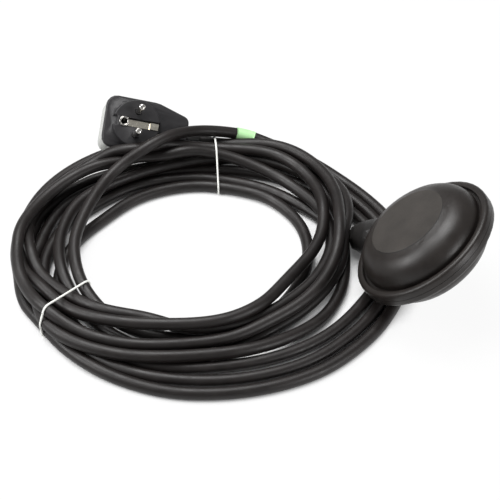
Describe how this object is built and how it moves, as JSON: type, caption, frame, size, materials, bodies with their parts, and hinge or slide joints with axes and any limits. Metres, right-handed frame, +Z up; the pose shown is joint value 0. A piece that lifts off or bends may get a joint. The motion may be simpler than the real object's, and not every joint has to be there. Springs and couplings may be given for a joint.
{
  "type": "cable float switch",
  "caption": "Lens-shaped tilt float switch on a coil of black rubber cable tied with string, with a mains plug that has a socket in its back.",
  "frame": {"origin": "centre of the float", "axes": "+Z up from the surface it lies on, +Y away from the viewer of the picture, +X to the right"},
  "size_m": [0.3452, 0.2874, 0.0881],
  "materials": {
    "float_plastic": "satin black",
    "gland_plastic": "satin black",
    "rubber": "matt black",
    "seal_rubber": "matt black",
    "string": "white twine",
    "plug_black": "satin black",
    "plug_grey": "satin light grey",
    "pin_chrome": "polished",
    "earth_brass": "nickel plated",
    "steel": "bright",
    "carrier_plastic": "off-white",
    "switch_black": "satin black",
    "core_brown": "brown insulation",
    "core_blue": "blue insulation",
    "core_grey": "grey insulation"
  },
  "bodies": {
    "body": {"cable_coil": "rubber", "cable_core_closed": "core_blue", "cable_core_common": "core_brown", "cable_core_open": "core_grey", "cable_lead_float": "rubber", "cable_lead_plug": "rubber", "cable_sleeve": "seal_rubber", "carrier_screw_1": "steel", "carrier_screw_2": "steel", "carrier_screw_3": "steel", "cord_grip": "carrier_plastic", "cord_grip_screw_1": "steel", "cord_grip_screw_2": "steel", "float_shell_lower": "float_plastic", "float_shell_upper": "float_plastic", "gland_body": "gland_plastic", "gland_bush": "seal_rubber", "gland_nut": "gland_plastic", "lever_pin": "steel", "microswitch_body": "switch_black", "microswitch_screw_1": "steel", "microswitch_screw_2": "steel", "plug_boot": "seal_rubber", "plug_earth_sleeve": "pin_chrome", "plug_earth_strap": "earth_brass", "plug_front_housing": "plug_black", "plug_housing_screw_1": "steel", "plug_housing_screw_2": "steel", "plug_housing_screw_3": "steel", "plug_housing_screw_4": "steel", "plug_pin_lower": "pin_chrome", "plug_pin_upper": "pin_chrome", "plug_rear_housing": "plug_grey", "rim_seal": "seal_rubber", "socket_contact_lower": "earth_brass", "socket_contact_upper": "earth_brass", "socket_earth_bracket": "earth_brass", "string_tie_back": "string", "string_tie_front": "string", "switch_carrier": "carrier_plastic", "terminal_closed": "earth_brass", "terminal_common": "earth_brass", "terminal_open": "earth_brass"},
    "ball": {"steel_ball": "steel"},
    "lever": {"switch_lever": "steel"}
  },
  "joints": [
    {"name": "ball_run", "type": "slide", "parent": "body", "child": "ball", "axis": [0.5835, -0.6413, 0.4983], "range_m": [0, 0.008]},
    {"name": "lever_hinge", "type": "hinge", "parent": "body", "child": "lever", "pos_m": [-0.01465, 0.01117, -0.01263], "axis": [0.5933, -0.0823, -0.8007], "range_deg": [0, 3.2]}
  ],
  "couplings": [
    {"joint": "lever_hinge", "follows": "ball_run", "rad_per_m": 6.8024}
  ]
}
